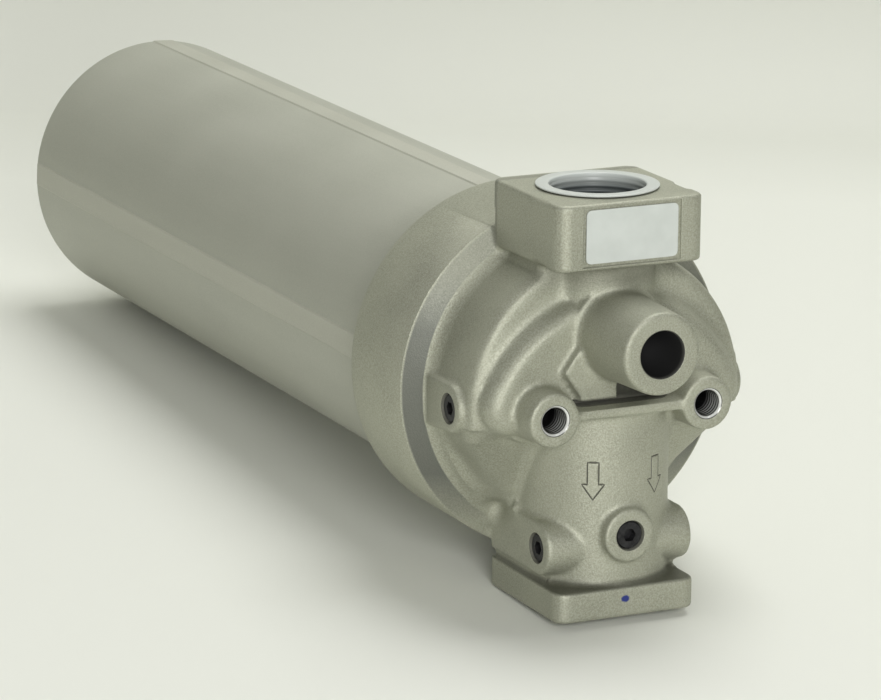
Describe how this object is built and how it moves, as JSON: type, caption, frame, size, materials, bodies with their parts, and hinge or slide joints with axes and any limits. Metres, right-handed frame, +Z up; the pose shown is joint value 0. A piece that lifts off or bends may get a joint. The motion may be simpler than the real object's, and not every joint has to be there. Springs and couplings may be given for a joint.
{
  "type": "inline return filter",
  "caption": "Hydraulic return line filter with a cast head, ports in line, a bypass valve, threaded mounting bosses and a long screw-on bowl round its element.",
  "frame": {"origin": "bottom centre of the overall box, at the height of the outlet flange's face", "axes": "+Y along the bowl away from the head, +Z up out of the inlet port, +X to the right seen from the front"},
  "size_m": [0.1464, 0.5426, 0.1721],
  "materials": {
    "cast_aluminium": "blasted casting with machined faces",
    "turned_aluminium": "fine blasted, slightly smoother than the head",
    "dark_steel": "dark oxide finish",
    "plated_steel": "zinc plated sheet",
    "nitrile_rubber": "smooth black",
    "white_ptfe": "smooth white",
    "white_plastic": "translucent white",
    "plate_film": "blank white film",
    "filter_media": "pleated media",
    "brass": "turned"
  },
  "bodies": {
    "head": {"head_casting": "cast_aluminium", "name_plate": "plate_film", "bowl_seal": "nitrile_rubber", "bowl_backup_ring": "white_ptfe", "element_open_cap": "plated_steel", "element_closed_cap": "plated_steel", "element_pleats": "filter_media", "element_core": "plated_steel", "element_seal": "nitrile_rubber", "bypass_cage": "plated_steel", "bypass_spring": "dark_steel", "front_plug": "dark_steel", "front_plug_seal": "nitrile_rubber", "left_side_plug": "dark_steel", "left_side_plug_seal": "nitrile_rubber", "right_side_plug": "dark_steel", "right_side_plug_seal": "nitrile_rubber", "left_lower_plug": "dark_steel", "left_lower_plug_seal": "nitrile_rubber", "right_lower_plug": "dark_steel", "right_lower_plug_seal": "nitrile_rubber"},
    "bowl": {"bowl": "turned_aluminium"},
    "spring_pack": {"hold_down_spring": "dark_steel", "spring_cup": "plated_steel"},
    "inlet_cap": {"inlet_port_cap": "white_plastic"},
    "bypass_poppet": {"bypass_poppet": "brass"}
  },
  "joints": [
    {"name": "bowl_draw", "type": "slide", "parent": "head", "child": "spring_pack", "axis": [0, 1, 0], "range_m": [0, 0.42]},
    {"name": "bowl_turn", "type": "hinge", "parent": "spring_pack", "child": "bowl", "pos_m": [0, 0, 0.0862], "axis": [0, 1, 0], "range_deg": [0, 2880]},
    {"name": "cap_pull", "type": "slide", "parent": "head", "child": "inlet_cap", "axis": [0, 0, 1], "range_m": [0, 0.03]},
    {"name": "bypass_lift", "type": "slide", "parent": "head", "child": "bypass_poppet", "axis": [0, -1, 0], "range_m": [0, 0.005], "stiffness_N_per_m": 5000, "springref_m": -0.01, "deforming": ["bypass_spring"]}
  ]
}
